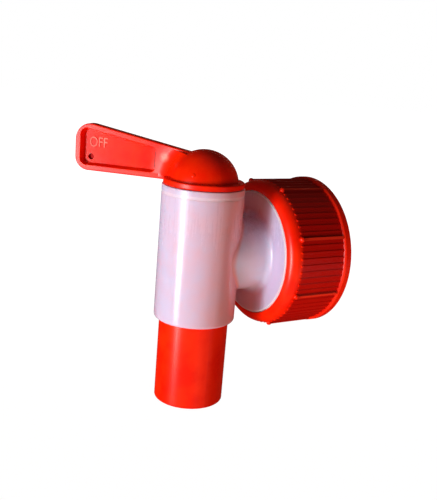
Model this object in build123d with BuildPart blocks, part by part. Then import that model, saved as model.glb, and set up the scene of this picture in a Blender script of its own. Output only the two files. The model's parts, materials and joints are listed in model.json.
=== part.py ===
"""Jerrycan tap: a screw-on tap whose lever turns a hollow plug that is also the spout.

Units are millimetres. +Z is up and the barrel stands upright. +Y is the axis of the neck and points
into the jerrycan. The origin is the centre of the gasket's outer face, where the jerrycan's rim seats.
The rest pose is shut, with the lever 45 degrees to one side of straight out.
"""

from build123d import *
import math
import os

# Barrel: the upright tube that the plug turns in.
barrel_radius = 15.5
barrel_length = 51.2
barrel_wall = 1.85
barrel_above_neck = 26.65
barrel_foot_round = 1.1
barrel_top_round = 0.3
bore_lead_in = 0.4
band_depth = 0.15
band_width = 1.1

# Neck: the short side tube from the barrel to the flange.
neck_radius = 14.3
neck_wall = 2.3
neck_reach = 23.3
neck_root_round = 0.9
neck_flange_round = 3.0
port_radius = 8.5

# Flange: the disc that fills the nut's hole, and the wider rim behind it that the nut pulls on.
disc_proud = 0.3
disc_edge_round = 0.3
rim_overlap = 1.3
rim_side_gap = 0.45
rim_thickness = 2.4
rim_lead_in = 0.6

# Nut: the screw cap that holds the flange on the jerrycan.
thread_radius = 25.75
nut_depth = 26.7
nut_wall = 2.5
nut_lip = 2.5
nut_hole_clearance = 0.25
nut_face_flat = 0.1
nut_lip_gap = 0.3
relief_depth = 0.4
nut_mouth_chamfer = 0.8
end_ring_width = 3.0
end_ring_height = 1.15
end_ring_round = 0.55

# Grip: fine ribs all round the nut, with a heavier rib at even steps.
heavy_rib_count = 8
fine_ribs_between = 8
heavy_rib_phase = 22.5
fine_rib_height = 0.3
fine_rib_foot = 1.0
fine_rib_crest = 0.45
heavy_rib_height = 0.95
heavy_rib_foot = 1.7
heavy_rib_crest = 0.9
nub_radius = 1.05
nub_centre_height = 0.3
rib_root = 0.2

# Gasket: the flat washer between the flange and the jerrycan's rim.
gasket_thickness = 2.2
gasket_edge_gap = 0.75
gasket_width = 7.2

# Rotor: lever, dome, plug and spout, moulded as one piece.
plug_clearance = 0.05
rotor_wall = 2.4
spout_length = 32.8
spout_step = 0.26
spout_step_below = 0.6
spout_edge_round = 0.5
window_radius = 8.5
collar_inset = 0.4
collar_thickness = 2.1
collar_gap = 0.1
collar_edge_round = 0.45
dome_radius = 13.0
dome_rise = 0.35

# Lever: the upright blade, with a sunk panel on the side that shows when the tap is shut.
lever_length = 51.1
lever_thickness = 4.0
lever_root_height = 10.2
lever_tip_height = 18.95
lever_above_barrel = 0.7
lever_tip_top_round = 6.2
lever_tip_foot_round = 5.2
lever_edge_round = 0.5
flare_radius = 7.5
flare_border = 0.8
flare_sink = 0.04
edge_tolerance = 0.05
panel_border = 2.1
panel_root = 18.8
panel_depth = 2.4
panel_draft = 17.0
panel_root_round = 2.0
panel_tip_top_round = 2.6
panel_tip_foot_round = 2.4
panel_mouth_round = 0.3
dimple_radius = 1.2
dimple_inset = 5.6
dimple_height = 5.1
dimple_depth = 1.0

# Turning: how far the lever swings, and the lug that stops it at each end.
lever_swing = 90.0
lever_rest_angle = 225.0
stop_lug_span = 14.0
stop_lug_proud = 0.8
stop_lug_depth = 1.3
stop_gap = 0.25

# Bead: the raised ring that snaps the plug into a groove in the barrel.
snap_bead = 0.45
snap_drop = 2.75
snap_clearance = 0.15

# Places along the neck's axis, worked back from the gasket's outer face.
flange_back = -gasket_thickness
rim_front = flange_back - rim_thickness
nut_inner_face = rim_front - nut_lip_gap
nut_front = nut_inner_face - nut_lip
disc_front = nut_front - disc_proud
barrel_y = disc_front - neck_reach
nut_mouth = nut_front + nut_depth

# Radii that follow from the thread.
rim_radius = thread_radius - rim_side_gap
disc_radius = rim_radius - rim_overlap
relief_radius = thread_radius + relief_depth
nut_hole_radius = disc_radius + nut_hole_clearance
nut_grip_radius = thread_radius + nut_wall
end_ring_radius = nut_grip_radius + end_ring_height
nut_shoulder = nut_grip_radius - nut_hole_radius - nut_face_flat
gasket_radius = thread_radius - gasket_edge_gap
grip_front = nut_front + nut_shoulder
grip_back = nut_mouth - end_ring_width

# Heights and radii that follow from the barrel and the neck.
barrel_top = barrel_above_neck
barrel_foot = barrel_top - barrel_length
spout_foot = barrel_foot - spout_length
bore_radius = barrel_radius - barrel_wall
inlet_radius = neck_radius - neck_wall
plug_radius = bore_radius - plug_clearance
spout_radius = plug_radius - spout_step
outlet_radius = plug_radius - rotor_wall
step_height = barrel_foot - spout_step_below
collar_radius = barrel_radius - collar_inset
collar_foot = barrel_top + collar_gap
collar_top = collar_foot + collar_thickness
dome_centre = barrel_top + dome_rise
lever_foot = barrel_top + lever_above_barrel
dome_foot_angle = math.degrees(math.asin((lever_foot - dome_centre) / dome_radius))
snap_height = barrel_top - snap_drop
stop_track_radius = plug_radius + stop_lug_proud + stop_gap
stop_slack_angle = math.degrees(stop_gap / plug_radius)
lug_angle = lever_rest_angle + 180
window_angle = lever_rest_angle + 135

# Planes that the sketches lie on.
barrel_base = Plane(origin=(0, barrel_y, 0), x_dir=(1, 0, 0), z_dir=(0, 0, 1))
barrel_half = Plane(origin=(0, barrel_y, 0), x_dir=(1, 0, 0), z_dir=(0, -1, 0))
barrel_axis = Axis((0, barrel_y, 0), (0, 0, 1))
neck_half = Plane(origin=(0, 0, 0), x_dir=(1, 0, 0), z_dir=(0, 0, 1))
lever_way = Vector(1, 0, 0).rotate(Axis.Z, lever_rest_angle)
lever_side = Plane(
    origin=(0, barrel_y, lever_foot),
    x_dir=lever_way,
    z_dir=lever_way.rotate(Axis.Z, -90),
)
dome_middle = Vector(0, barrel_y, dome_centre)
flare_centre_out = lever_thickness / 2 + flare_radius - flare_sink
flare_span = dome_radius + flare_radius - flare_sink
flare_reach = math.sqrt(flare_span**2 - flare_centre_out**2)
flare_end = Vector(flare_reach, lever_thickness / 2 - flare_sink)
flare_head = Vector(flare_reach, flare_centre_out) * ((dome_radius - flare_sink) / flare_span)
window_face = Plane(
    origin=(0, barrel_y, 0),
    x_dir=(0, 0, 1),
    z_dir=Vector(1, 0, 0).rotate(Axis.Z, window_angle),
)


def pie_slice(radius, start, span):
    """A slice of a disc about the barrel's axis, from the angle start through the angle span."""
    with BuildSketch() as wedge:
        with BuildLine():
            rim = CenterArc((0, 0), radius, start, span)
            Line((0, 0), rim @ 0)
            Line(rim @ 1, (0, 0))
        make_face()
    return wedge.sketch


def blade_outline(border, root, root_round, tip_top_round, tip_foot_round):
    """The blade's side view, drawn in from its edge by border: x runs out along the lever."""
    rise = (lever_tip_height - lever_root_height) / lever_length
    edge_drop = border * math.sqrt(1 + rise**2)
    tip = lever_length - border
    root_head = lever_root_height + rise * root - edge_drop
    tip_head = lever_root_height + rise * tip - edge_drop
    corners = [(root, border), (tip, border), (tip, tip_head), (root, root_head)]
    rounds = [root_round, tip_foot_round, tip_top_round, root_round]
    with BuildSketch() as outline:
        with BuildLine():
            Polyline(*corners, close=True)
        make_face()
        for corner, corner_round in zip(corners, rounds):
            if corner_round > 0:
                fillet(outline.vertices().sort_by_distance(corner)[0], corner_round)
    return outline.sketch


# Inlet core: the space inside the neck, which ends at the barrel's round wall.
with BuildPart() as inlet_core:
    with BuildSketch(Plane(origin=(0, barrel_y, 0), x_dir=(1, 0, 0), z_dir=(0, 1, 0))):
        Circle(inlet_radius)
    extrude(amount=flange_back - barrel_y)
    with BuildSketch(barrel_base.offset(-inlet_radius)):
        Circle(barrel_radius)
    extrude(amount=2 * inlet_radius, mode=Mode.SUBTRACT)

# Tap body: barrel, neck and flange in one moulding.
with BuildPart() as tap_body:
    with BuildSketch(barrel_base.offset(barrel_foot)):
        Circle(barrel_radius)
    extrude(amount=barrel_length)
    fillet(tap_body.edges().sort_by(Axis.Z)[0], barrel_foot_round)
    fillet(tap_body.edges().sort_by(Axis.Z)[-1], barrel_top_round)
    with BuildSketch(barrel_half):
        with Locations((barrel_radius, snap_height)):
            Rectangle(2 * band_depth, band_width)
    revolve(axis=barrel_axis, mode=Mode.SUBTRACT)

    with BuildSketch(neck_half) as flange_profile:
        with BuildLine():
            Polyline(
                (0, barrel_y),
                (neck_radius, barrel_y),
                (neck_radius, disc_front),
                (disc_radius, disc_front),
                (disc_radius, rim_front),
                (rim_radius, rim_front),
                (rim_radius, flange_back - rim_lead_in),
                (rim_radius - rim_lead_in, flange_back),
                (0, flange_back),
                close=True,
            )
        make_face()
        disc_foot = flange_profile.vertices().sort_by_distance((neck_radius, disc_front))[0]
        fillet(disc_foot, neck_flange_round)
        disc_edge = flange_profile.vertices().sort_by_distance((disc_radius, disc_front))[0]
        fillet(disc_edge, disc_edge_round)
    revolve(axis=Axis.Y)
    fillet(tap_body.edges().filter_by(GeomType.BSPLINE), neck_root_round)
    add(inlet_core.part, mode=Mode.SUBTRACT)

    # The bore for the plug, with a lead-in at each end and the groove for the snap bead.
    with BuildSketch(barrel_half):
        with BuildLine():
            Polyline(
                (0, barrel_foot),
                (bore_radius + bore_lead_in, barrel_foot),
                (bore_radius, barrel_foot + bore_lead_in),
                (bore_radius, barrel_top - bore_lead_in),
                (bore_radius + bore_lead_in, barrel_top),
                (0, barrel_top),
                close=True,
            )
        make_face()
        with Locations((bore_radius, snap_height)):
            Circle(snap_bead + snap_clearance)
    revolve(axis=barrel_axis, mode=Mode.SUBTRACT)

    # The port that the plug's window opens and shuts.
    with BuildSketch(Plane(origin=(0, barrel_y, 0), x_dir=(1, 0, 0), z_dir=(0, 1, 0))):
        Circle(port_radius)
    extrude(amount=neck_reach, mode=Mode.SUBTRACT)

    # The track that the plug's stop lug swings in.
    with BuildSketch(barrel_base.offset(barrel_top)):
        add(
            pie_slice(
                stop_track_radius,
                lug_angle - stop_lug_span / 2 - stop_slack_angle,
                lever_swing + stop_lug_span + 2 * stop_slack_angle,
            )
        )
    extrude(amount=-stop_lug_depth - stop_gap, mode=Mode.SUBTRACT)

# Rotor core: the space inside the rotor, open at the spout's foot and domed at the top.
with BuildPart() as rotor_core:
    with BuildSketch(barrel_half):
        with BuildLine():
            Line((0, spout_foot), (outlet_radius, spout_foot))
            Line((outlet_radius, spout_foot), (outlet_radius, dome_centre))
            CenterArc((0, dome_centre), outlet_radius, 0, 90)
            Line((0, dome_centre + outlet_radius), (0, spout_foot))
        make_face()
    revolve(axis=barrel_axis)

# Blade: the lever's plate by itself, with its edge rounded.
with BuildPart() as blade:
    with BuildSketch(lever_side.offset(-lever_thickness / 2)):
        add(blade_outline(0, 0, 0, lever_tip_top_round, lever_tip_foot_round))
    extrude(amount=lever_thickness)
    blade_rim = [
        edge
        for edge in blade.faces().filter_by(lever_side).edges()
        if lever_side.to_local_coords(edge.center()).X > edge_tolerance
    ]
    fillet(blade_rim, lever_edge_round)

# Flare: the wide cove on each side of the blade where it runs into the dome.
with BuildPart() as flare:
    with BuildSketch(Plane(origin=dome_middle, x_dir=lever_way, z_dir=(0, 0, -1))):
        with BuildLine():
            Polyline(flare_end, (flare_reach, 0), (0, 0), (0, flare_head.Y), flare_head)
            RadiusArc(flare_head, flare_end, -flare_radius)
        make_face()
    revolve(axis=Axis(dome_middle, lever_side.z_dir))
    mirror(about=lever_side)
    with BuildSketch(lever_side):
        add(blade_outline(flare_border, 0, 0, lever_tip_top_round, lever_tip_foot_round))
    extrude(amount=dome_radius, both=True, mode=Mode.INTERSECT)

# Rotor: lever, dome, plug and spout in one moulding.
with BuildPart() as rotor:
    with BuildSketch(barrel_half):
        with BuildLine():
            dome_arc = CenterArc((0, dome_centre), dome_radius, dome_foot_angle, 90 - dome_foot_angle)
            Polyline(dome_arc @ 1, (0, lever_foot), dome_arc @ 0)
        make_face()
    revolve(axis=barrel_axis)
    add(blade.part)
    add(flare.part)

    # The collar, the plug with its snap bead, and the spout.
    with BuildSketch(barrel_half) as rotor_profile:
        with BuildLine():
            Polyline(
                (0, collar_top),
                (0, spout_foot),
                (spout_radius, spout_foot),
                (spout_radius, step_height),
                (plug_radius, step_height + spout_step),
                (plug_radius, collar_foot),
                (collar_radius, collar_foot),
                (collar_radius, collar_top),
                close=True,
            )
        make_face()
        for corner in [(collar_radius, collar_foot), (collar_radius, collar_top)]:
            fillet(rotor_profile.vertices().sort_by_distance(corner)[0], collar_edge_round)
        fillet(rotor_profile.vertices().sort_by_distance((spout_radius, spout_foot))[0], spout_edge_round)
        with Locations((plug_radius, snap_height)):
            Circle(snap_bead)
    revolve(axis=barrel_axis)

    # The sunk panel, with sloped walls and a rounded mouth, and the blind dimple in its floor.
    with BuildSketch(lever_side.offset(-lever_thickness / 2)):
        add(
            blade_outline(
                panel_border,
                panel_root,
                panel_root_round,
                panel_tip_top_round,
                panel_tip_foot_round,
            )
        )
    extrude(amount=panel_depth, taper=panel_draft, mode=Mode.SUBTRACT)
    side_faces = rotor.faces().filter_by(lever_side)
    panel_side = side_faces.sort_by(lambda face: lever_side.to_local_coords(face.center()).Z)[0]
    fillet(panel_side.inner_wires()[0].edges(), panel_mouth_round)
    with BuildSketch(lever_side.offset(panel_depth - lever_thickness / 2)):
        with Locations((lever_length - dimple_inset, dimple_height)):
            Circle(dimple_radius)
    extrude(amount=dimple_depth, mode=Mode.SUBTRACT)

    # The lug under the collar that swings in the barrel's track.
    with BuildSketch(barrel_base.offset(collar_foot)):
        add(pie_slice(plug_radius + stop_lug_proud, lug_angle - stop_lug_span / 2, stop_lug_span))
    extrude(amount=-stop_lug_depth)

    add(rotor_core.part, mode=Mode.SUBTRACT)

    # The window that meets the barrel's port when the lever is swung to open.
    with BuildSketch(window_face):
        Circle(window_radius)
    extrude(amount=plug_radius + stop_lug_proud, mode=Mode.SUBTRACT)

# Nut: rounded shoulder, ribbed grip and plain end ring over a bore for the jerrycan's thread.
with BuildPart() as collar_nut:
    with BuildSketch(neck_half) as nut_profile:
        with BuildLine():
            Line((nut_hole_radius, nut_front), (nut_hole_radius + nut_face_flat, nut_front))
            CenterArc((nut_hole_radius + nut_face_flat, grip_front), nut_shoulder, -90, 90)
            Polyline(
                (nut_grip_radius, grip_front),
                (nut_grip_radius, grip_back),
                (end_ring_radius, grip_back),
                (end_ring_radius, nut_mouth),
                (thread_radius + nut_mouth_chamfer, nut_mouth),
                (thread_radius, nut_mouth - nut_mouth_chamfer),
                (thread_radius, 0),
                (relief_radius, 0),
                (relief_radius, nut_inner_face),
                (nut_hole_radius, nut_inner_face),
                (nut_hole_radius, nut_front),
            )
        make_face()
        for corner in [(end_ring_radius, grip_back), (end_ring_radius, nut_mouth)]:
            fillet(nut_profile.vertices().sort_by_distance(corner)[0], end_ring_round)
    revolve(axis=Axis.Y)

    rib_step = 360 / (heavy_rib_count * (fine_ribs_between + 1))
    grip_length = grip_back - grip_front + end_ring_round
    grip_plane = Plane(origin=(0, grip_front, 0), x_dir=(1, 0, 0), z_dir=(0, 1, 0))
    with BuildSketch(grip_plane):
        for place in range(fine_ribs_between + 1):
            foot = fine_rib_foot if place else heavy_rib_foot
            crest = fine_rib_crest if place else heavy_rib_crest
            height = fine_rib_height if place else heavy_rib_height
            start = heavy_rib_phase + place * rib_step
            with PolarLocations(nut_grip_radius, heavy_rib_count, start_angle=start):
                Polygon(
                    (-rib_root, -foot / 2),
                    (0, -foot / 2),
                    (height, -crest / 2),
                    (height, crest / 2),
                    (0, foot / 2),
                    (-rib_root, foot / 2),
                    align=None,
                )
    extrude(amount=grip_length)
    with Locations(grip_plane.offset(nub_radius / 2)):
        with PolarLocations(nut_grip_radius + nub_centre_height, heavy_rib_count, start_angle=heavy_rib_phase):
            Sphere(nub_radius)

# Gasket: the flat ring that the jerrycan's rim seats on.
with BuildPart() as flange_gasket:
    with BuildSketch(Plane(origin=(0, flange_back, 0), x_dir=(1, 0, 0), z_dir=(0, 1, 0))):
        Circle(gasket_radius)
        Circle(gasket_radius - gasket_width, mode=Mode.SUBTRACT)
    extrude(amount=gasket_thickness)

os.makedirs("parts", exist_ok=True)
sub_parts = {
    "tap_body": tap_body,
    "rotor": rotor,
    "collar_nut": collar_nut,
    "flange_gasket": flange_gasket,
}
for name, sub_part in sub_parts.items():
    sub_part.part.label = name
    export_step(sub_part.part, f"parts/{name}.step")
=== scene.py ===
"""The jerrycan tap's looks: its plastics and foam, its small pieces and the studio round it.

The small pieces are the cap's thread, the word on the lever and the mark that the moulding leaves on
the dome. Lengths are in metres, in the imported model's own frame: +Z is up, +Y runs along the neck
into the jerrycan, and the origin is the centre of the gasket's outer face. The tap is shut at rest.
"""

from __future__ import annotations

import json
import logging
import math
from dataclasses import dataclass
from enum import Enum
from typing import Any

import bpy
from mathutils import Matrix, Vector

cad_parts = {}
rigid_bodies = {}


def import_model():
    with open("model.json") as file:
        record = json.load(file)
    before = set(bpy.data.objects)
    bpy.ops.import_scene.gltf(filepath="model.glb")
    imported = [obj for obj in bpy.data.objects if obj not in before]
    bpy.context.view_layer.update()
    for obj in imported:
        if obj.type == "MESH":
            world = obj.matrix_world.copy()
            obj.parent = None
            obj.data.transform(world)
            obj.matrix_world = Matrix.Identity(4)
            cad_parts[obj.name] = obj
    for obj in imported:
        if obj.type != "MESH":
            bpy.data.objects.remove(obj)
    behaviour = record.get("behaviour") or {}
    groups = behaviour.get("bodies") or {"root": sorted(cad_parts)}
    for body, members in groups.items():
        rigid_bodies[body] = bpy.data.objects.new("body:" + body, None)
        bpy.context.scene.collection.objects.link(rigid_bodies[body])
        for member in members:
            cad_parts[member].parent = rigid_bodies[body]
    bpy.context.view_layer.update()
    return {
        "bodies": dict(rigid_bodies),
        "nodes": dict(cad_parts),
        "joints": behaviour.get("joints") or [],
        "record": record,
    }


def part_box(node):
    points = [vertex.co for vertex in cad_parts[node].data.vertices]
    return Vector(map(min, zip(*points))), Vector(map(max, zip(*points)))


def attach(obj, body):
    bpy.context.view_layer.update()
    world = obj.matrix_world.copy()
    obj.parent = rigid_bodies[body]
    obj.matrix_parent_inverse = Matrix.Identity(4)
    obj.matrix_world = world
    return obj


MM = 0.001

# How far the flange's rim stands past the disc, and how much of the cap's length is plain at each end.
RIM_OVERLAP = 1.3 * MM
NUT_SHOULDER = 3.9 * MM
END_RING = 3.0 * MM

Colour = tuple[float, float, float, float]

# The value where a mask starts to rise from 0, and the value where it is full.
Ramp = tuple[float, float]

log = logging.getLogger("jerrycan_tap")


class Body(str, Enum):
    """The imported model's bodies, which the pieces ride on."""

    TAP = "tap"
    PLUG = "plug"
    CAP = "cap"


class Node(str, Enum):
    """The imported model's nodes."""

    TAP_BODY = "tap_body"
    GASKET = "flange_gasket"
    ROTOR = "rotor"
    NUT = "collar_nut"


class Slot(str, Enum):
    """The record's material slots."""

    NATURAL = "natural_plastic"
    FOAM = "gasket_foam"
    RED = "red_plastic"


def rgb(red: int, green: int, blue: int) -> Colour:
    """Turns a screen colour into the linear colour that shaders use.

    Args:
        red: The red part, 0 to 255.
        green: The green part, 0 to 255.
        blue: The blue part, 0 to 255.

    Returns:
        The linear colour, with full alpha.
    """

    def linear(part: int) -> float:
        share = part / 255
        return share / 12.92 if share <= 0.04045 else ((share + 0.055) / 1.055) ** 2.4

    return linear(red), linear(green), linear(blue), 1.0


class Signal:
    """A shader node's output that takes part in arithmetic, each step as its own Math node."""

    def __init__(self, graph: Graph, socket: bpy.types.NodeSocket) -> None:
        """Wraps one output socket of the graph."""
        self.graph = graph
        self.socket = socket

    def maths(self, operation: str, *operands: Signal | float) -> Signal:
        """Adds one Math node.

        Args:
            operation: The Math node's operation.
            operands: The signals or numbers it works on, in order.

        Returns:
            The node's result.
        """
        return self.graph.read(
            self.graph.node("ShaderNodeMath", {"operation": operation}, dict(enumerate(operands)))
        )

    def __add__(self, other: Signal | float) -> Signal:
        """Adds a signal or a number."""
        return self.maths("ADD", self, other)

    def __radd__(self, other: float) -> Signal:
        """Adds to a number on the left."""
        return self.maths("ADD", other, self)

    def __sub__(self, other: Signal | float) -> Signal:
        """Takes a signal or a number away."""
        return self.maths("SUBTRACT", self, other)

    def __rsub__(self, other: float) -> Signal:
        """Is taken away from a number on the left."""
        return self.maths("SUBTRACT", other, self)

    def __mul__(self, other: Signal | float) -> Signal:
        """Multiplies by a signal or a number."""
        return self.maths("MULTIPLY", self, other)

    def __rmul__(self, other: float) -> Signal:
        """Multiplies a number on the left."""
        return self.maths("MULTIPLY", other, self)

    def __abs__(self) -> Signal:
        """Drops the sign."""
        return self.maths("ABSOLUTE", self)

    def __pow__(self, power: float) -> Signal:
        """Raises to a power."""
        return self.maths("POWER", self, power)

    def rises(self, ramp: Ramp, origin: float = 0.0) -> Signal:
        """Goes smoothly from 0 to 1 along a ramp, whose first value may be the larger.

        Args:
            ramp: The values that give 0 and 1.
            origin: What both values are counted from.

        Returns:
            The smooth step.
        """
        node = self.graph.node(
            "ShaderNodeMapRange",
            {"interpolation_type": "SMOOTHSTEP"},
            {"Value": self, "From Min": origin + ramp[0], "From Max": origin + ramp[1]},
        )
        return self.graph.read(node)


class Graph:
    """The node tree of one material or of the world."""

    def __init__(self, owner: bpy.types.Material | bpy.types.World) -> None:
        """Takes the owner's node tree over and empties it."""
        owner.use_nodes = True
        self.owner = owner
        self.tree = owner.node_tree
        self.tree.nodes.clear()

    def node(
        self, kind: str, settings: dict[str, Any] | None = None, sockets: dict[Any, Any] | None = None
    ) -> bpy.types.Node:
        """Adds one node.

        Args:
            kind: The node's type.
            settings: Its properties, which are set first.
            sockets: The value or link of each input, by name or number.

        Returns:
            The node.
        """
        node = self.tree.nodes.new(kind)
        for key, value in (settings or {}).items():
            setattr(node, key, value)
        for key, value in (sockets or {}).items():
            target = node.inputs[key]
            if isinstance(value, Signal):
                self.tree.links.new(value.socket, target)
            else:
                target.default_value = value
        return node

    def read(self, node: bpy.types.Node, output: str | int = 0) -> Signal:
        """Gives a node's output as a signal."""
        return Signal(self, node.outputs[output])

    def place(self) -> Signal:
        """Gives the point on the piece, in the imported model's frame."""
        return self.read(self.node("ShaderNodeTexCoord"), "Object")

    def axes(self, vector: Signal) -> tuple[Signal, Signal, Signal]:
        """Splits a vector into its x, y and z."""
        node = self.node("ShaderNodeSeparateXYZ", sockets={0: vector})
        return self.read(node, 0), self.read(node, 1), self.read(node, 2)

    def join(self, x: Signal | float, y: Signal | float, z: Signal | float) -> Signal:
        """Makes a vector of its x, y and z."""
        return self.read(self.node("ShaderNodeCombineXYZ", sockets={0: x, 1: y, 2: z}))

    def noise(self, point: Signal, grain: float, detail: float = 2.0, rough: float = 0.5) -> Signal:
        """Gives smooth noise from 0 to 1.

        Args:
            point: The point that it is read at.
            grain: The size of its blotches, in metres.
            detail: How many finer layers it has.
            rough: How strong the finer layers are.

        Returns:
            The noise.
        """
        sockets = {"Vector": point, "Scale": 1 / grain, "Detail": detail, "Roughness": rough}
        return self.read(self.node("ShaderNodeTexNoise", {"normalize": True}, sockets), 0)

    def mix(self, share: Signal | float, first: Signal | Colour, second: Signal | Colour) -> Signal:
        """Blends two colours.

        Args:
            share: How much of the second colour shows, 0 to 1.
            first: The colour at 0.
            second: The colour at 1.

        Returns:
            The blended colour.
        """
        node = self.node("ShaderNodeMix", {"data_type": "RGBA"}, {0: share, 6: first, 7: second})
        return self.read(node, 2)

    def bump(self, height: Signal, depth: float, normal: Signal | None = None) -> Signal:
        """Turns a height from 0 to 1 into a bent normal.

        Args:
            height: The height over the surface.
            depth: What a height of 1 measures, in metres.
            normal: The normal that it bends, where it isn't the piece's own.

        Returns:
            The bent normal.
        """
        sockets = {"Height": height, "Distance": depth, "Strength": 1.0}
        if normal:
            sockets["Normal"] = normal
        return self.read(self.node("ShaderNodeBump", sockets=sockets))

    def soften(self, outward: Signal, share: Signal) -> Signal:
        """Turns the piece's own normal part of the way to another, which rounds small ribs off.

        Args:
            outward: The direction of the smooth surface under the ribs, in the piece's own frame.
            share: How far the normal turns, 0 to 1.

        Returns:
            The softened normal.
        """
        turn = {"vector_type": "NORMAL", "convert_from": "OBJECT", "convert_to": "WORLD"}
        smooth = self.read(self.node("ShaderNodeVectorTransform", turn, {0: self.unit(outward)}))
        own = self.read(self.node("ShaderNodeNewGeometry"), "Normal")
        mixed = self.node("ShaderNodeMix", {"data_type": "VECTOR"}, {0: share, 4: own, 5: smooth})
        return self.unit(self.read(mixed, 1))

    def unit(self, vector: Signal) -> Signal:
        """Gives a vector the length 1."""
        return self.read(self.node("ShaderNodeVectorMath", {"operation": "NORMALIZE"}, {0: vector}))

    def plastic(self, sockets: dict[str, Any]) -> bpy.types.Node:
        """Adds a Principled shader with those sockets."""
        return self.node("ShaderNodeBsdfPrincipled", sockets=sockets)

    def blend(self, share: Signal, first: bpy.types.Node, second: bpy.types.Node) -> bpy.types.Node:
        """Mixes two shaders: the first where the share is 0, the second where it is 1."""
        sockets = {0: share, 1: self.read(first), 2: self.read(second)}
        return self.node("ShaderNodeMixShader", sockets=sockets)

    def send(
        self, shader: bpy.types.Node, output: str = "ShaderNodeOutputMaterial"
    ) -> bpy.types.Material | bpy.types.World:
        """Sends a shader to the output and gives the tree's owner."""
        self.node(output, sockets={"Surface": self.read(shader)})
        return self.owner

    def finish(self, sockets: dict[str, Any]) -> bpy.types.Material:
        """Adds a Principled shader with those sockets, sends it on and gives the material."""
        return self.send(self.plastic(sockets))


@dataclass(frozen=True)
class TapFrame:
    """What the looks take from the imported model."""

    barrel_y: float
    barrel_top: float
    barrel_foot: float
    spout_foot: float
    barrel_radius: float
    thread_radius: float
    disc_radius: float
    grip_start: float
    grip_end: float

    @classmethod
    def read(cls, frame: dict[str, Any]) -> TapFrame:
        """Reads the sizes from the frame.


        Returns:
            The tap's main sizes and places.
        """
        joints = {joint["name"]: joint for joint in frame["joints"]}
        mounts = {mount["name"]: mount for mount in frame["record"]["mounts"]}
        barrel_y = joints["tap_turn"]["pos_m"][1]
        body_low, body_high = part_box(Node.TAP_BODY.value)
        nut_low, nut_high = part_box(Node.NUT.value)
        barrel_radius = barrel_y - body_low.y
        spout_length = mounts["outlet_spout"]["dims"]["length_mm"] * MM
        spout_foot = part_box(Node.ROTOR.value)[0].z
        return cls(
            barrel_y=barrel_y,
            barrel_top=body_high.z,
            barrel_foot=spout_foot + spout_length,
            spout_foot=spout_foot,
            barrel_radius=barrel_radius,
            thread_radius=mounts["neck_thread"]["dims"]["r_mm"] * MM,
            disc_radius=body_high.x - RIM_OVERLAP,
            grip_start=nut_low.y + NUT_SHOULDER,
            grip_end=nut_high.y - END_RING,
        )


@dataclass(frozen=True)
class Blade:
    """The lever's blade, as its panel, its word and its marks need it."""

    turn: float = math.radians(45)
    foot_above_barrel: float = 0.7 * MM
    thickness: float = 4.0 * MM
    panel_depth: float = 2.4 * MM
    panel_foot: float = 19.6 * MM
    dimple_reach: float = 45.5 * MM
    dimple_height: float = 5.1 * MM
    dimple_radius: float = 1.2 * MM

    def way(self) -> Vector:
        """Gives the direction from the barrel's axis to the lever's tip."""
        return Vector((-math.sin(self.turn), -math.cos(self.turn), 0))

    def face(self) -> Vector:
        """Gives the outward normal of the face with the panel."""
        return Vector((math.cos(self.turn), -math.sin(self.turn), 0))

    def point(self, tap: TapFrame, reach: float, height: float, proud: float) -> Vector:
        """Finds a point on the blade.

        Args:
            tap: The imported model's sizes.
            reach: How far out along the lever it is, from the barrel's axis.
            height: How high it is above the barrel's top.
            proud: How far it stands out from the blade's middle plane, towards the panel's side.

        Returns:
            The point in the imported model's frame.
        """
        foot = Vector((0, tap.barrel_y, tap.barrel_top))
        return foot + self.way() * reach + self.face() * proud + Vector((0, 0, height))

    @property
    def floor(self) -> float:
        """Gives how far the panel's floor stands out from the blade's middle plane."""
        return self.thickness / 2 - self.panel_depth


@dataclass(frozen=True)
class Surface:
    """A piece's points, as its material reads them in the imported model's frame."""

    graph: Graph
    tap: TapFrame
    place: Signal
    x: Signal
    y: Signal
    z: Signal

    @classmethod
    def start(cls, name: str, tap: TapFrame) -> Surface:
        """Starts a material of that name and reads the piece's points in it."""
        graph = Graph(bpy.data.materials.new(name))
        place = graph.place()
        return cls(graph, tap, place, *graph.axes(place))


@dataclass(frozen=True)
class Coat:
    """What a finish lays on a surface: its colour, what it adds to the roughness, and its normal."""

    colour: Signal
    haze: Signal | float = 0.0
    normal: Signal | None = None


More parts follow.
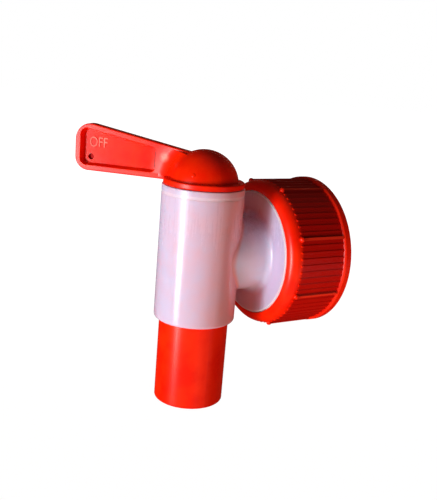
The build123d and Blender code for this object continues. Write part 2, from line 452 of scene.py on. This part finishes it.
@dataclass(frozen=True)
class RedPlastic:
    """Glossy red moulded plastic, with faint flow clouds, rub marks and fine scratches."""

    name: str
    deep: Colour = rgb(233, 22, 0)
    fresh: Colour = rgb(246, 40, 3)
    # Pale red for the random rub marks; on the cap's heavy ribs, a painted highlight.
    rub_and_sheen: Colour = rgb(246, 60, 34)
    roughness: float = 0.25
    roughness_spread: float = 0.08
    specular: float = 0.3
    cloud_grain: float = 9 * MM
    cloud_ramp: Ramp = (0.3, 0.7)
    scratch_grain: float = 0.6 * MM
    scratch_stretch: float = 9.0
    rub_ramp: Ramp = (0.70, 0.84)
    rub_share: float = 0.25
    skin_grain: float = 0.9 * MM
    skin_depth: float = 0.0018 * MM
    skin_share: float = 0.6

    def marks_and_painted_light(self, surface: Surface, colour: Signal, specks: Signal) -> Coat:
        """Lays on local marks: nothing here, and painted shade, painted highlights and duller places on
        the rotor and the cap.

        Args:
            surface: The piece's points; not used here.
            colour: The clean plastic's colour.
            specks: The noise of its small rub marks; not used here.

        Returns:
            The coat, with the clean colour only.
        """
        return Coat(colour)

    def dress(self, tap: TapFrame) -> bpy.types.Material:
        """Builds the material.

        Args:
            tap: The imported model's sizes.

        Returns:
            The material.
        """
        surface = Surface.start(self.name, tap)
        graph, place = surface.graph, surface.place
        clouds = graph.noise(place, self.cloud_grain, detail=3)
        drawn = graph.join(surface.x, surface.y, surface.z * self.scratch_stretch)
        streaks = graph.noise(drawn, self.scratch_grain * self.scratch_stretch, detail=3, rough=0.7)
        specks = graph.noise(place, self.scratch_grain)
        colour = graph.mix(clouds.rises(self.cloud_ramp), self.deep, self.fresh)
        colour = graph.mix(specks.rises(self.rub_ramp) * self.rub_share, colour, self.rub_and_sheen)
        coat = self.marks_and_painted_light(surface, colour, specks)
        skin = graph.noise(place, self.skin_grain, detail=1) * self.skin_share
        skin = skin + streaks * (1 - self.skin_share)
        return graph.finish(
            {
                "Base Color": coat.colour,
                "Roughness": self.roughness + (streaks - 0.5) * self.roughness_spread + coat.haze,
                "Normal": graph.bump(skin, self.skin_depth, coat.normal),
                "Specular IOR Level": self.specular,
            }
        )


@dataclass(frozen=True)
class RotorRed(RedPlastic):
    """The rotor's red, with painted shade in the dimple and the panel's crease, a painted highlight at
    the lever's root, and a duller root and collar.

    Reaches count from the barrel's axis and depths from the panel's floor. The heights of the crease
    and the root's painted highlight count from the blade's foot, and the collar's from the barrel's
    top.
    The root and the lean count from the middle of the barrel's top.
    """

    blade: Blade = Blade()
    # Painted shade in the dimple.
    dimple_shade: Colour = rgb(176, 8, 6)
    hole_edge: Ramp = (0.144 * MM, 0.024 * MM)
    hole_depth: Ramp = (0.02 * MM, -0.06 * MM)
    hole_haze: float = 0.5
    far_face: Ramp = (0.1 * MM, 0.2 * MM)
    # Painted shade along the crease where the panel's floor meets its end wall at the root.
    crease_shade: Colour = rgb(84, 4, 3)
    crease_width: Ramp = (0.5 * MM, 0.1 * MM)
    crease_depth: Ramp = (1.0 * MM, 0.0)
    crease_foot: Ramp = (3.0 * MM, 4.2 * MM)
    crease_head: Ramp = (10.4 * MM, 9.2 * MM)
    # Painted highlight: a pale smudge at the lever's root.
    root_highlight_colour: Colour = rgb(255, 150, 130)
    highlight_reach: float = 15.2 * MM
    highlight_height: float = 8.3 * MM
    highlight_edge: Ramp = (2.4 * MM, 0.2 * MM)
    highlight_share: float = 0.2
    highlight_specks: float = 0.9
    floor_depth: Ramp = (0.5 * MM, 0.2 * MM)
    floor_start: Ramp = (18.5 * MM, 22.5 * MM)
    floor_haze: float = -0.09
    root_in: Ramp = (13.6 * MM, 15.6 * MM)
    root_out: Ramp = (23.5 * MM, 18.5 * MM)
    root_haze: float = 0.08
    lean_in: Ramp = (13.6 * MM, 16.5 * MM)
    lean_out: Ramp = (22.5 * MM, 16.5 * MM)
    lean_share: float = 0.08
    above_collar: Ramp = (2.2 * MM, 3.0 * MM)
    collar_foot: Ramp = (-0.2 * MM, 0.1 * MM)
    collar_head: Ramp = (2.4 * MM, 1.8 * MM)
    collar_haze: float = 0.1

    def marks_and_painted_light(self, surface: Surface, colour: Signal, specks: Signal) -> Coat:
        """Lays on painted shade in the dimple and the panel's crease, a painted highlight at the
        lever's root, and the duller places.

        Args:
            surface: The piece's points.
            colour: The clean plastic's colour.
            specks: The noise of its small rub marks.

        Returns:
            The coat, with its painted shade and highlight.
        """
        graph, blade = surface.graph, self.blade
        way, face = blade.way(), blade.face()
        foot = blade.point(surface.tap, 0, blade.foot_above_barrel, 0)
        x, y, height = surface.x - foot.x, surface.y - foot.y, surface.z - foot.z
        reach = x * way.x + y * way.y
        proud = x * face.x + y * face.y
        this_side = proud.rises(self.far_face, -blade.thickness / 2)

        from_hole = ((reach - blade.dimple_reach) ** 2 + (height - blade.dimple_height) ** 2) ** 0.5
        hole = from_hole.rises(self.hole_edge, blade.dimple_radius)
        hole = hole * proud.rises(self.hole_depth, blade.floor) * this_side
        crease = abs(reach - blade.panel_foot).rises(self.crease_width)
        crease = crease * proud.rises(self.crease_depth, blade.floor) * this_side
        crease = crease * height.rises(self.crease_foot) * height.rises(self.crease_head)
        from_highlight = ((reach - self.highlight_reach) ** 2 + (height - self.highlight_height) ** 2) ** 0.5
        root_highlight = from_highlight.rises(self.highlight_edge) * proud.rises((blade.floor, blade.thickness / 2))
        root_highlight = root_highlight * (self.highlight_share + specks * self.highlight_specks)
        # Painted shade in the crease and the dimple, and a painted highlight at the lever's root.
        colour = graph.mix(crease, colour, self.crease_shade)
        colour = graph.mix(root_highlight, colour, self.root_highlight_colour)
        colour = graph.mix(hole, colour, self.dimple_shade)

        above = surface.z - surface.tap.barrel_top
        from_dome = (x**2 + y**2 + above**2) ** 0.5
        over_collar = above.rises(self.above_collar)
        root = from_dome.rises(self.root_in) * from_dome.rises(self.root_out) * over_collar
        floor = abs(proud - blade.floor).rises(self.floor_depth) * reach.rises(self.floor_start)
        collar = above.rises(self.collar_foot) * above.rises(self.collar_head)
        haze = root * self.root_haze + hole * self.hole_haze
        haze = haze + floor * self.floor_haze + collar * self.collar_haze
        lean = from_dome.rises(self.lean_out) * from_dome.rises(self.lean_in) * over_collar
        tipwards = graph.join(way.x, way.y, 0.0)
        return Coat(colour, haze, graph.soften(tipwards, lean * self.lean_share))


@dataclass(frozen=True)
class CapRed(RedPlastic):
    """The cap's red: duller, with painted shade on the grip, fine ribs that look soft and a painted
    highlight on the heavy ribs.

    The ribs' ramps count outwards from the thread's radius.
    """

    roughness: float = 0.30
    # Painted shade: the grip darkened as if its ribs trapped the light.
    grip_shade: Colour = rgb(176, 7, 3)
    grip_share: float = 0.85
    shoulder_edge: Ramp = (0.0, 1.2 * MM)
    ring_edge: Ramp = (0.5 * MM, -0.5 * MM)
    # Painted highlight: the heavy ribs' crests take the pale rub colour.
    heavy_ribs: Ramp = (3.05 * MM, 3.35 * MM)
    rib_sheen_share: float = 0.75
    outer_wall: Ramp = (1.0 * MM, 1.6 * MM)
    rib_softness: float = 0.8

    def marks_and_painted_light(self, surface: Surface, colour: Signal, specks: Signal) -> Coat:
        """Lays on the grip's painted shade and the heavy ribs' painted highlight, and softens the fine
        ones.

        Args:
            surface: The piece's points.
            colour: The clean plastic's colour.
            specks: The noise of its small rub marks; not used here.

        Returns:
            The coat, with its painted shade and highlight.
        """
        graph, tap = surface.graph, surface.tap
        on_grip = surface.y.rises(self.shoulder_edge, tap.grip_start)
        on_grip = on_grip * surface.y.rises(self.ring_edge, tap.grip_end)
        from_bore = (surface.x**2 + surface.z**2) ** 0.5
        heavy = from_bore.rises(self.heavy_ribs, tap.thread_radius)
        outside = from_bore.rises(self.outer_wall, tap.thread_radius)
        # Painted shade on the grip, and a painted highlight on the heavy ribs.
        colour = graph.mix(on_grip * self.grip_share, colour, self.grip_shade)
        colour = graph.mix(on_grip * heavy * self.rib_sheen_share, colour, self.rub_and_sheen)
        outwards = graph.join(surface.x, 0.0, surface.z)
        normal = graph.soften(outwards, on_grip * outside * self.rib_softness)
        return Coat(colour, normal=normal)


@dataclass(frozen=True)
class Soak:
    """How light soaks into a milky wall: how much of it, and how far it spreads inside."""

    weight: float
    reach: float


@dataclass(frozen=True)
class MilkyPlastic:
    """Natural plastic that light soaks into: the red plug inside tints the barrel's wall pink. Painted
    shade deepens that pink towards the neck and lays a reddish shade on the disc by the barrel; painted
    light brightens the neck, and painted highlights lighten the disc's rim and, with the plastic's own
    clearness, the barrel's foot.

    Each edge counts from what it is named for: the barrel's wall or foot, the band's middle, the
    neck's wall, the disc's rim. The glow, the painted reddish shade on the disc, counts sideways from
    the barrel's axis.
    """

    name: str
    milk: Colour = rgb(192, 180, 210)
    # Painted light: the neck, which lies in the barrel's shadow, gets a brighter milk.
    neck_lit_milk: Colour = rgb(206, 206, 232)
    pale_blush: Colour = rgb(204, 197, 223)
    # Deep pink: the plug's own pink through the wall, deepened as painted shade towards the neck, and
    # painted reddish shade on the disc by the barrel.
    deep_blush_and_shade: Colour = rgb(236, 169, 171)
    # Clearer plastic at the barrel's band and foot; at the foot's edge and the disc's rim also a
    # painted highlight.
    clear_and_highlit_rim: Colour = rgb(242, 222, 230)
    ring_tint: Colour = rgb(216, 178, 206)
    roughness: float = 0.19
    ior: float = 1.5
    soak_tint: tuple[float, float, float] = (1.0, 0.55, 0.55)
    barrel_soak: Soak = Soak(0.55, 4.5 * MM)
    disc_soak: Soak = Soak(0.95, 12.0 * MM)
    barrel_edge: Ramp = (1.4 * MM, 0.2 * MM)
    cloud_grain: float = 8 * MM
    blush_base: float = 0.1
    shade_rise: float = 0.9
    blush_clouds: float = 0.7
    plug_foot: Ramp = (0.4 * MM, 2.6 * MM)
    band_drop: float = 2.75 * MM
    band_edge: Ramp = (0.9 * MM, 0.45 * MM)
    band_share: float = 0.45
    foot_edge: Ramp = (1.6 * MM, 0.5 * MM)
    foot_share: float = 0.8
    ring_grain: float = 1.4 * MM
    ring_ramp: Ramp = (0.5, 0.8)
    ring_share: float = 0.35
    neck_radius: float = 14.3 * MM
    neck_edge: Ramp = (3.2 * MM, 0.4 * MM)
    glow_ramp: Ramp = (17.0 * MM, 4.0 * MM)
    glow_share: float = 0.6
    neck_shade_share: float = 0.3
    rim_edge: Ramp = (-0.9 * MM, -0.3 * MM)
    rim_highlight_share: float = 0.8
    skin_grain: float = 2.4 * MM
    skin_depth: float = 0.05 * MM
    skin_haze: float = 0.08
    draw_grain: float = 0.8 * MM
    draw_stretch: float = 0.06
    draw_haze: float = 0.2
    handled_start: float = 14 * MM
    handled_haze: float = 0.12

    def dress(self, tap: TapFrame) -> bpy.types.Material:
        """Builds the material.

        Args:
            tap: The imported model's sizes.

        Returns:
            The material.
        """
        surface = Surface.start(self.name, tap)
        graph, x, y, z = surface.graph, surface.x, surface.y, surface.z
        marks = graph.noise(surface.place, self.skin_grain, detail=3, rough=0.65)
        drawn = graph.join(x, y, z * self.draw_stretch)
        draws = graph.noise(drawn, self.draw_grain, detail=3, rough=0.6)
        handled = z.rises((tap.barrel_foot + self.handled_start, tap.barrel_top))
        haze = (marks - 0.5) * self.skin_haze + (draws - 0.5) * self.draw_haze
        haze = haze + handled * self.handled_haze
        from_axis = (x**2 + (y - tap.barrel_y) ** 2) ** 0.5
        on_barrel = from_axis.rises(self.barrel_edge, tap.barrel_radius)
        barrel = self._soaked(graph, self._wall(surface), marks, haze, self.barrel_soak)
        disc = self._soaked(graph, self._disc(surface), marks, haze, self.disc_soak)
        return graph.send(graph.blend(on_barrel, disc, barrel))

    def _wall(self, surface: Surface) -> Signal:
        """Colours the barrel: pinker over the plug, pinker still towards the neck as painted shade,
        clearer at band and foot, the foot's edge partly as a painted highlight.

        Args:
            surface: The piece's points.

        Returns:
            The colour.
        """
        graph, tap, z = surface.graph, surface.tap, surface.z
        clouds = graph.noise(surface.place, self.cloud_grain, detail=3)
        # Painted shade: the pink deepens across the barrel towards the neck, its shaded side.
        near_neck = (surface.y - tap.barrel_y).rises((-tap.barrel_radius, tap.barrel_radius))
        share = near_neck * self.shade_rise + (clouds - 0.5) * self.blush_clouds + self.blush_base
        blush = graph.mix(share, self.pale_blush, self.deep_blush_and_shade)
        wall = graph.mix(z.rises(self.plug_foot, tap.barrel_foot), self.milk, blush)
        band = abs(z - (tap.barrel_top - self.band_drop)).rises(self.band_edge)
        # The foot's clear band: partly the plastic's own clearness, partly a painted highlight on its
        # edge.
        foot = z.rises(self.foot_edge, tap.barrel_foot)
        return graph.mix(band * self.band_share + foot * self.foot_share, wall, self.clear_and_highlit_rim)

    def _disc(self, surface: Surface) -> Signal:
        """Colours the neck and the disc: brighter on the neck as painted light, pinker by the barrel as
        painted reddish shade, clearer at the rim as a painted highlight.

        Args:
            surface: The piece's points.

        Returns:
            The colour.
        """
        graph = surface.graph
        from_neck = (surface.x**2 + surface.z**2) ** 0.5
        rings = graph.noise(graph.join(from_neck, 0.0, 0.0), self.ring_grain, detail=1)
        on_neck = from_neck.rises(self.neck_edge, self.neck_radius)
        rim = from_neck.rises(self.rim_edge, surface.tap.disc_radius)
        disc = graph.mix(rings.rises(self.ring_ramp) * self.ring_share, self.milk, self.ring_tint)
        # Painted light on the neck.
        disc = graph.mix(on_neck, disc, self.neck_lit_milk)
        # Painted reddish shade: the disc turns deep pink by the barrel, where the barrel's shadow
        # falls; less of it on the neck.
        glow = surface.x.rises(self.glow_ramp) * (1 - on_neck * (1 - self.neck_shade_share))
        disc = graph.mix(glow * self.glow_share, disc, self.deep_blush_and_shade)
        # Painted highlight: the disc's rim is lightened as if its edge caught the light.
        return graph.mix(rim * self.rim_highlight_share, disc, self.clear_and_highlit_rim)

    def _soaked(
        self, graph: Graph, colour: Signal, marks: Signal, haze: Signal, soak: Soak
    ) -> bpy.types.Node:
        """Adds the plastic's shader.

        Args:
            graph: The material's nodes.
            colour: The colour over the surface.
            marks: The noise of its skin.
            haze: What the marks and the handling add to its roughness.
            soak: How light soaks into it.

        Returns:
            The shader node.
        """
        return graph.plastic(
            {
                "Base Color": colour,
                "Roughness": self.roughness + haze,
                "Normal": graph.bump(marks, self.skin_depth),
                "IOR": self.ior,
                "Subsurface Weight": soak.weight,
                "Subsurface Radius": self.soak_tint,
                "Subsurface Scale": soak.reach,
            }
        )


@dataclass(frozen=True)
class GasketFoam:
    """White closed-cell foam, cut from sheet."""

    name: str
    pale: Colour = rgb(232, 232, 228)
    pore: Colour = rgb(196, 196, 192)
    roughness: float = 0.75
    cell_grain: float = 0.5 * MM
    cell_ramp: Ramp = (0.25, 0.75)
    cell_depth: float = 0.06 * MM

    def dress(self, tap: TapFrame) -> bpy.types.Material:
        """Builds the material.

        Args:
            tap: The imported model's sizes.

        Returns:
            The material.
        """
        surface = Surface.start(self.name, tap)
        graph = surface.graph
        sockets = {"Vector": surface.place, "Scale": 1 / self.cell_grain}
        cells = graph.read(graph.node("ShaderNodeTexVoronoi", {"feature": "F1"}, sockets), "Distance")
        return graph.finish(
            {
                "Base Color": graph.mix(cells.rises(self.cell_ramp), self.pale, self.pore),
                "Roughness": self.roughness,
                "Normal": graph.bump(1 - cells, self.cell_depth),
            }
        )


def deselect() -> None:
    """Leaves object mode with nothing selected."""
    if bpy.context.object and bpy.context.object.mode != "OBJECT":
        bpy.ops.object.mode_set(mode="OBJECT")
    bpy.ops.object.select_all(action="DESELECT")


def edit_all() -> None:
    """Enters edit mode with the whole mesh selected."""
    bpy.ops.object.mode_set(mode="EDIT")
    bpy.ops.mesh.select_all(action="SELECT")


def settle(piece: bpy.types.Object, name: str) -> bpy.types.Object:
    """Names a piece and puts its place into its mesh, so that its object sits at the origin.

    Args:
        piece: The piece, the active object.
        name: Its name.

    Returns:
        The piece.
    """
    piece.name = name
    piece.data.name = name
    deselect()
    piece.select_set(True)
    bpy.context.view_layer.objects.active = piece
    bpy.ops.object.transform_apply(location=True, rotation=True, scale=True)
    return piece


def hand_over(piece: bpy.types.Object, body: Body, material: bpy.types.Material) -> None:
    """Gives a finished piece its material and the body that it rides on.

    Args:
        piece: The piece.
        body: The body that it moves with.
        material: Its material.
    """
    piece.data.materials.clear()
    piece.data.materials.append(material)
    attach(piece, body.value)
    log.info("%s: %d faces, on %s", piece.name, len(piece.data.polygons), body.value)


@dataclass
class CapThread:
    """The cap's inner thread: one ridge that winds along the bore and fades out at both ends."""

    tap: TapFrame
    start: float = 3.2 * MM
    pitch: float = 4.2 * MM
    turns: float = 2.6
    ridge_height: float = 1.05 * MM
    foot_width: float = 2.1 * MM
    crest_width: float = 0.8 * MM
    sink: float = 0.15 * MM
    steps_per_turn: int = 72
    fade_turns: float = 0.12
    end_burial: float = 0.02 * MM
    merge_gap: float = 0.001 * MM
    smooth_angle: float = math.radians(40)

    def build(self) -> bpy.types.Object:
        """Builds the ridge.

        Returns:
            The ridge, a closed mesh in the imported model's frame.
        """
        deselect()
        wall = self.tap.thread_radius
        bpy.ops.mesh.primitive_plane_add(size=1, location=(wall, self.start, 0))
        ridge = bpy.context.object
        corners = [
            (self.sink, -self.foot_width / 2),
            (self.sink, self.foot_width / 2),
            (-self.ridge_height, self.crest_width / 2),
            (-self.ridge_height, -self.crest_width / 2),
        ]
        order = sorted(ridge.data.vertices, key=lambda v: math.atan2(v.co.y, v.co.x))
        for vertex, (out, along) in zip(order, self._by_angle(corners)):
            vertex.co = (out, along, 0)
        bpy.ops.object.transform_apply(location=True, rotation=True, scale=True)
        edit_all()
        bpy.ops.mesh.delete(type="ONLY_FACE")
        bpy.ops.object.mode_set(mode="OBJECT")
        screw = ridge.modifiers.new("winding", "SCREW")
        screw.axis = "Y"
        screw.angle = math.tau * self.turns
        screw.screw_offset = self.pitch * self.turns
        screw.steps = self._steps
        screw.render_steps = screw.steps
        bpy.ops.object.modifier_apply(modifier=screw.name)
        self._fade_ends(ridge)
        edit_all()
        bpy.ops.mesh.remove_doubles(threshold=self.merge_gap)
        bpy.ops.mesh.select_all(action="SELECT")
        bpy.ops.mesh.fill_holes(sides=4)
        bpy.ops.mesh.select_all(action="SELECT")
        bpy.ops.mesh.normals_make_consistent(inside=False)
        bpy.ops.object.mode_set(mode="OBJECT")
        bpy.ops.object.shade_smooth_by_angle(angle=self.smooth_angle)
        return settle(ridge, "cap_thread")

    @property
    def _steps(self) -> int:
        """Gives how many sections the ridge is wound in."""
        return round(self.steps_per_turn * self.turns)

    @staticmethod
    def _by_angle(corners: list[tuple[float, float]]) -> list[tuple[float, float]]:
        """Sorts section corners by their angle, as the plane's own corners are sorted."""
        return sorted(corners, key=lambda corner: math.atan2(corner[1], corner[0]))

    def _fade_ends(self, ridge: bpy.types.Object) -> None:
        """Lets the ridge sink into the wall at both ends.

        Args:
            ridge: The wound ridge, before its ends are closed.
        """
        wall = self.tap.thread_radius
        ring = len(ridge.data.vertices) // (self._steps + 1)
        for index, vertex in enumerate(ridge.data.vertices):
            share = (index // ring) / self._steps * self.turns
            depth = min(1.0, share / self.fade_turns, (self.turns - share) / self.fade_turns)
            depth = math.sin(depth * math.pi / 2)
            radius = math.hypot(vertex.co.x, vertex.co.z)
            if radius < wall:
                scale = (wall + self.end_burial - (wall - radius) * depth) / radius
                vertex.co.x *= scale
                vertex.co.z *= scale


@dataclass
class PanelWord:
    """The word moulded on the panel's floor, which says that the tap is shut this way round."""

    tap: TapFrame
    blade: Blade
    text: str = "OFF"
    start_reach: float = 46.0 * MM
    foot_height: float = 9.65 * MM
    letter_height: float = 4.0 * MM
    stroke_proud: float = 0.28 * MM
    sink: float = 0.05 * MM
    cap_share: float = 0.73
    narrowing: float = 0.78
    edge: float = 0.05 * MM
    thinning: float = 0.06 * MM
    curve_steps: int = 8
    merge_gap: float = 0.002 * MM

    def build(self) -> bpy.types.Object:
        """Builds the word.

        Returns:
            The letters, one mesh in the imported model's frame.
        """
        half_depth = (self.stroke_proud + self.sink) / 2
        deselect()
        bpy.ops.object.text_add(location=(0, 0, 0))
        word = bpy.context.object
        word.data.body = self.text
        word.data.size = self.letter_height / self.cap_share
        word.data.extrude = half_depth
        word.data.bevel_depth = self.edge
        word.data.offset = -self.thinning
        word.data.resolution_u = self.curve_steps
        word.scale = (self.narrowing, 1, 1)
        bpy.ops.object.convert(target="MESH")
        word = bpy.context.object
        bpy.ops.object.transform_apply(location=True, rotation=True, scale=True)
        left = min(vertex.co.x for vertex in word.data.vertices)
        low = min(vertex.co.y for vertex in word.data.vertices)
        middle = self.blade.floor - self.sink + half_depth
        start = self.blade.point(self.tap, self.start_reach, self.foot_height, middle)
        rows = Matrix((-self.blade.way(), Vector((0, 0, 1)), self.blade.face())).transposed()
        for vertex in word.data.vertices:
            local = Vector((vertex.co.x - left, vertex.co.y - low, vertex.co.z))
            vertex.co = start + rows @ local
        edit_all()
        bpy.ops.mesh.remove_doubles(threshold=self.merge_gap)
        bpy.ops.mesh.normals_make_consistent(inside=False)
        bpy.ops.object.mode_set(mode="OBJECT")
        return settle(word, "off_word")


@dataclass
class GateMark:
    """The small round stub that the moulding leaves on the dome's side."""

    tap: TapFrame
    rotor: bpy.types.Object
    turn: float = math.radians(-48.9)
    height: float = 5.0 * MM
    radius: float = 0.75 * MM
    proud: float = 0.13 * MM
    sink: float = 0.3 * MM
    lip: float = 0.3 * MM
    crown: float = 0.06 * MM
    edge: float = 0.12 * MM
    edge_steps: int = 3
    sides: int = 24
    top_cosine: float = 0.9
    smooth_angle: float = math.radians(50)

    def build(self) -> bpy.types.Object:
        """Builds the mark.

        Returns:
            The mark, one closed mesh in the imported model's frame.
        """
        out = Vector((math.cos(self.turn), math.sin(self.turn), 0))
        inside = Vector((0, self.tap.barrel_y, self.tap.barrel_top + self.height))
        _, spot, normal, _ = self.rotor.ray_cast(inside + out * self.tap.disc_radius, -out)
        deselect()
        bpy.ops.mesh.primitive_cylinder_add(
            vertices=self.sides,
            radius=self.radius,
            depth=self.proud + self.sink,
            location=spot + normal * (self.proud - self.sink) / 2,
            rotation=normal.to_track_quat("Z", "Y").to_euler(),
        )
        mark = bpy.context.object
        bpy.ops.object.mode_set(mode="EDIT")
        bpy.ops.mesh.select_mode(type="FACE")
        bpy.ops.mesh.select_all(action="DESELECT")
        bpy.ops.object.mode_set(mode="OBJECT")
        for face in mark.data.polygons:
            face.select = face.normal.z > self.top_cosine
        bpy.ops.object.mode_set(mode="EDIT")
        bpy.ops.mesh.inset(thickness=self.lip)
        bpy.ops.transform.translate(value=normal * self.crown)
        bpy.ops.object.mode_set(mode="OBJECT")
        bevel = mark.modifiers.new("worn_edge", "BEVEL")
        bevel.width = self.edge
        bevel.segments = self.edge_steps
        bpy.ops.object.modifier_apply(modifier=bevel.name)
        bpy.ops.object.shade_smooth_by_angle(angle=self.smooth_angle)
        return settle(mark, "gate_mark")


@dataclass(frozen=True)
class PhotoCamera:
    """The camera at the photograph's place, measured from the barrel's top on its axis."""

    azimuth: float = math.radians(58.528)
    elevation: float = math.radians(13.934)
    roll: float = math.radians(4.768)
    distance: float = 279.93 * MM
    aim_right: float = 7.44 * MM
    aim_up: float = -24.123 * MM
    focal_share: float = 740.548 / 500
    sensor: float = 36.0
    clip_start: float = 10 * MM

    def build(self, tap: TapFrame) -> bpy.types.Object:
        """Adds the camera and makes it the scene's own.

        Args:
            tap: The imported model's sizes.

        Returns:
            The camera.
        """
        level = math.cos(self.elevation)
        back = Vector(
            (math.sin(self.azimuth) * level, -math.cos(self.azimuth) * level, math.sin(self.elevation))
        )
        right = (-back).cross(Vector((0, 0, 1))).normalized()
        up = back.cross(right)
        side = math.cos(self.roll) * right + math.sin(self.roll) * up
        top = math.cos(self.roll) * up - math.sin(self.roll) * right
        aim = Vector((0, tap.barrel_y, tap.barrel_top + self.aim_up)) + self.aim_right * right
        deselect()
        bpy.ops.object.camera_add()
        camera = bpy.context.object
        camera.name = "photo_camera"
        camera.matrix_world = Matrix.Translation(aim + self.distance * back) @ Matrix(
            (side, top, back)
        ).transposed().to_4x4()
        camera.data.lens = self.focal_share * self.sensor
        camera.data.sensor_width = self.sensor
        camera.data.sensor_fit = "AUTO"
        camera.data.clip_start = self.clip_start
        bpy.context.scene.camera = camera
        return camera


@dataclass(frozen=True)
class Lamp:
    """One soft area lamp, which shows in reflections only where it shines."""

    name: str
    direction: tuple[float, float, float]
    distance: float
    width: float
    height: float
    power: float
    colour: tuple[float, float, float] = (1.0, 1.0, 1.0)
    shines: bool = True

    def build(self, centre: Vector) -> None:
        """Adds the lamp, aimed at the centre.

        Args:
            centre: The point that it shines at.
        """
        away = Vector(self.direction).normalized()
        deselect()
        bpy.ops.object.light_add(type="AREA", location=centre + away * self.distance)
        lamp = bpy.context.object
        lamp.name = self.name
        lamp.data.shape = "RECTANGLE"
        lamp.data.size = self.width
        lamp.data.size_y = self.height
        lamp.data.energy = self.power
        lamp.data.color = self.colour
        lamp.visible_glossy = self.shines
        lamp.rotation_euler = away.to_track_quat("Z", "Y").to_euler()


@dataclass(frozen=True)
class Studio:
    """A pale floor, white behind the tap, a tall soft window at the left and weaker light all round."""

    floor_drop: float = 40 * MM
    floor_size: float = 6.0
    paper: Colour = rgb(236, 236, 236)
    white: Colour = rgb(255, 255, 255)
    glow: float = 1.15
    glow_share: float = 0.85
    glow_ramp: Ramp = (0.12, 0.45)
    surround: float = 0.08
    surround_colour: Colour = rgb(255, 160, 130)
    lamps: tuple[Lamp, ...] = (
        Lamp("window", (0.165, -0.975, -0.13), 1.50, 0.29, 0.60, 19.0, (1.0, 0.97, 0.99)),
        Lamp("sky", (0.165, -0.975, -0.13), 1.50, 0.80, 0.60, 9.0, (1.0, 0.97, 0.99), shines=False),
        Lamp("fill", (0.86, 0.22, -0.50), 0.90, 0.70, 0.50, 2.1, (1.0, 0.50, 0.37), shines=False),
        Lamp("card", (0.83, 0.51, -0.22), 0.90, 0.16, 0.25, 0.12, (0.78, 0.90, 1.0)),
        Lamp("bounce", (0.60, -0.38, -0.70), 0.90, 1.20, 1.20, 4.6, (1.0, 0.64, 0.50), shines=False),
        Lamp("behind", (-0.74, 0.66, 0.08), 1.00, 0.90, 0.90, 8.0, shines=False),
        Lamp("ceiling", (0.10, 0.15, 1.00), 0.80, 0.80, 0.80, 0.08),
    )

    def build(self, tap: TapFrame) -> None:
        """Adds the floor, the lamps and the world.

        Args:
            tap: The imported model's sizes.
        """
        for lamp in self.lamps:
            lamp.build(Vector((0, tap.barrel_y / 2, 0)))
        self._add_floor(tap)
        self._set_world()

    def _add_floor(self, tap: TapFrame) -> None:
        """Adds the floor, which shows white to the eye but for the tap's soft shadow."""
        deselect()
        bpy.ops.mesh.primitive_plane_add(
            size=self.floor_size,
            location=(0, 0, tap.spout_foot - self.floor_drop),
        )
        floor = settle(bpy.context.object, "floor")
        graph = Graph(bpy.data.materials.new("pale_floor"))
        path = graph.node("ShaderNodeLightPath")
        x, y, _ = graph.axes(graph.place())
        away = ((x**2 + y**2) ** 0.5).rises(self.glow_ramp)
        seen = graph.read(path, "Is Camera Ray") * (self.glow_share + (1 - self.glow_share) * away)
        paper = graph.node("ShaderNodeBsdfDiffuse", sockets={"Color": self.paper, "Roughness": 0.0})
        glow = graph.node("ShaderNodeEmission", sockets={"Color": self.white, "Strength": self.glow})
        floor.data.materials.append(graph.send(graph.blend(seen, paper, glow)))
        floor.visible_shadow = False
        floor.visible_diffuse = False
        floor.visible_glossy = False

    def _set_world(self) -> None:
        """Lights the scene faintly from all round, and shows white behind the tap."""
        world = bpy.data.worlds.new("pale_room")
        bpy.context.scene.world = world
        graph = Graph(world)
        seen = graph.read(graph.node("ShaderNodeLightPath"), "Is Camera Ray")
        room = {"Color": self.surround_colour, "Strength": self.surround}
        white = {"Color": self.white, "Strength": 1.0}
        room_light = graph.node("ShaderNodeBackground", sockets=room)
        white_light = graph.node("ShaderNodeBackground", sockets=white)
        graph.send(graph.blend(seen, room_light, white_light), "ShaderNodeOutputWorld")


def paint_node(frame: dict[str, Any], node: Node, material: bpy.types.Material) -> None:
    """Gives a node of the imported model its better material.

    Args:
        node: The node.
        material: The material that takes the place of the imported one.
    """
    piece = frame["nodes"][node.value]
    for slot in piece.material_slots:
        slot.material = material
    log.info("%s: dressed in %s", node.value, material.name)


def main() -> None:
    """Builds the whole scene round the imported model."""
    logging.basicConfig(level=logging.INFO, format="%(name)s %(message)s")
    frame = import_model()
    tap = TapFrame.read(frame)

    rotor_red = RotorRed("rotor_red").dress(tap)
    cap_red = CapRed("cap_red").dress(tap)
    # Painted highlight: the word's letters are a paler red than the blade.
    word_red = RedPlastic("word_red", deep=rgb(248, 88, 66), fresh=rgb(254, 126, 106)).dress(tap)
    paint_node(frame, Node.TAP_BODY, MilkyPlastic("milky_body").dress(tap))
    paint_node(frame, Node.GASKET, GasketFoam("gasket_foam_white").dress(tap))
    paint_node(frame, Node.ROTOR, rotor_red)
    paint_node(frame, Node.NUT, cap_red)

    hand_over(CapThread(tap).build(), Body.CAP, cap_red)
    hand_over(PanelWord(tap, Blade()).build(), Body.PLUG, word_red)
    mark = GateMark(tap, frame["nodes"][Node.ROTOR.value])
    hand_over(mark.build(), Body.PLUG, rotor_red)

    PhotoCamera().build(tap)
    Studio().build(tap)
    bpy.context.scene.view_settings.view_transform = "Standard"


if __name__ == "__main__":
    main()
